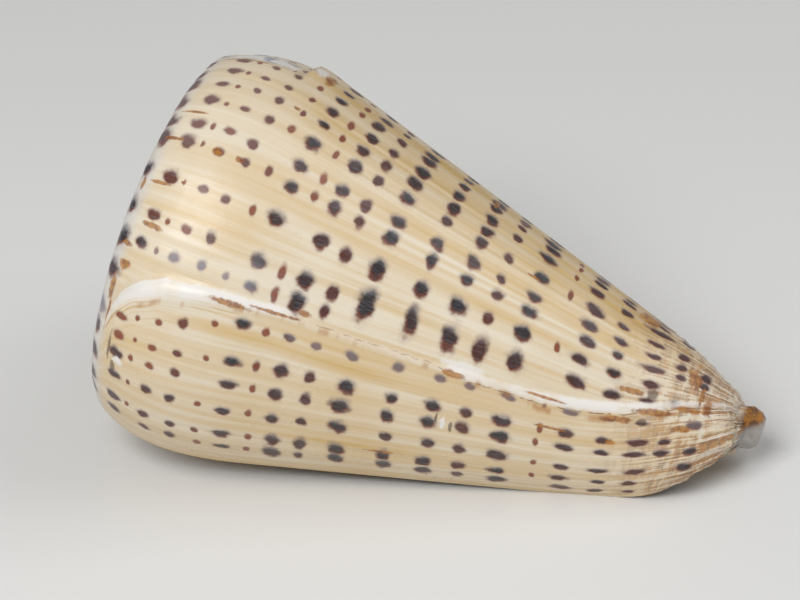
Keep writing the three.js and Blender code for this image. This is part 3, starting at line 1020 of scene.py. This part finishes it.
class CONE_OT_shell(bpy.types.Operator):
    """Grow the shell, hollow it out, lay it down and paint it"""

    bl_idname = "cone.shell"
    bl_label = "Grow Shell"
    bl_options = {"REGISTER", "UNDO"}

    def execute(self, context):
        s = context.scene.cone_shell
        shell = join([grow_body(s.relief), grow_spire()], "cone_shell")
        edit(shell, lambda: bpy.ops.mesh.remove_doubles(threshold=SHELL_WELD))
        close_apex(shell)
        edit(shell, lambda: bpy.ops.mesh.normals_make_consistent(inside=False))
        hollow = grow_hollow()
        shell.data.materials.append(outside_material(s))
        hollow.data.materials.append(inside_material(s))
        only(shell)
        cut = shell.modifiers.new("aperture", "BOOLEAN")
        cut.operation, cut.object = "DIFFERENCE", hollow
        cut.solver, cut.material_mode = "MANIFOLD", "TRANSFER"
        before = len(shell.data.polygons)
        bpy.ops.object.modifier_apply(modifier=cut.name)
        if len(shell.data.polygons) == before:
            raise RuntimeError("the hollow was not cut")
        bpy.data.objects.remove(hollow)
        lay_down(shell, s)
        mark_surface(shell)
        only(shell)
        bpy.ops.object.shade_smooth_by_angle(angle=math.radians(SMOOTH_ANGLE))
        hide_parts("shell")
        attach(shell, "root")
        return {"FINISHED"}


def studio_light(name, place_at, size, power):
    data = bpy.data.lights.new(name, "AREA")
    data.size, data.energy = size, power
    light = bpy.data.objects.new(name, data)
    bpy.context.scene.collection.objects.link(light)
    light.location = place_at
    light.rotation_euler = (Vector(AIM) - Vector(place_at)).to_track_quat("-Z", "Y").to_euler()


def studio_camera(s):
    azimuth, elevation, roll = (math.radians(v) for v in (s.azimuth, s.elevation, s.camera_roll))
    back = Vector((math.sin(azimuth) * math.cos(elevation), -math.cos(azimuth) * math.cos(elevation),
                   math.sin(elevation)))
    right = Vector((math.cos(azimuth), math.sin(azimuth), 0))
    up = back.cross(right)
    eye = Vector(AIM) + right * CAMERA_SHIFT[0] + up * CAMERA_SHIFT[1] + back * s.distance
    rolled = (right * math.cos(roll) + up * math.sin(roll), up * math.cos(roll) - right * math.sin(roll))
    turn = Matrix((*rolled, back)).transposed().to_4x4()
    data = bpy.data.cameras.new("camera")
    data.lens, data.sensor_width = s.lens, SENSOR_WIDTH
    camera = bpy.data.objects.new("camera", data)
    bpy.context.scene.collection.objects.link(camera)
    camera.matrix_world = Matrix.Translation(eye) @ turn
    bpy.context.scene.camera = camera


class CONE_OT_studio(bpy.types.Operator):
    """Set up the floor, the lights and the camera"""

    bl_idname = "cone.studio"
    bl_label = "Set Up Studio"
    bl_options = {"REGISTER", "UNDO"}

    def execute(self, context):
        s = context.scene.cone_studio
        bpy.ops.object.select_all(action="DESELECT")
        bpy.ops.mesh.primitive_plane_add(size=FLOOR_SIZE, location=(0, 0, 0))
        floor = context.object
        floor.name = "floor"
        n = Nodes("plain_floor")
        n.shader.inputs["Base Color"].default_value = (*s.floor_colour, 1)
        n.shader.inputs["Roughness"].default_value = 0.9
        floor.data.materials.append(n.material)

        world = bpy.data.worlds.new("studio")
        context.scene.world = world
        world.use_nodes = True
        background = world.node_tree.nodes["Background"]
        background.inputs[0].default_value = (1, 1, 1, 1)
        background.inputs[1].default_value = s.world_strength

        for (name, place_at, size), power in zip(STUDIO_LIGHTS, (s.key_power, s.fill_power)):
            studio_light(name, place_at, size, power)
        studio_camera(s)
        context.scene.view_settings.view_transform = "Standard"
        return {"FINISHED"}


class CONE_PT_panel(bpy.types.Panel):
    """The shell's operators and settings"""

    bl_idname = "CONE_PT_panel"
    bl_label = "Cone Shell"
    bl_space_type = "VIEW_3D"
    bl_region_type = "UI"
    bl_category = "Cone Shell"

    def draw(self, context):
        layout = self.layout
        scene = context.scene
        for owner, operator in ((scene.cone_shell, "cone.shell"), (scene.cone_studio, "cone.studio")):
            box = layout.box()
            box.operator(operator)
            for name in owner.bl_rna.properties.keys():
                if name not in ("rna_type", "name"):
                    box.prop(owner, name)


CLASSES = (ShellSettings, StudioSettings, CONE_OT_shell, CONE_OT_studio, CONE_PT_panel)


def register():
    for cls in CLASSES:
        bpy.utils.register_class(cls)
    bpy.types.Scene.cone_shell = bpy.props.PointerProperty(type=ShellSettings)
    bpy.types.Scene.cone_studio = bpy.props.PointerProperty(type=StudioSettings)


def unregister():
    del bpy.types.Scene.cone_studio
    del bpy.types.Scene.cone_shell
    for cls in reversed(CLASSES):
        bpy.utils.unregister_class(cls)


def main():
    register()
    bpy.ops.cone.shell()
    bpy.ops.cone.studio()


if __name__ == "__main__":
    main()
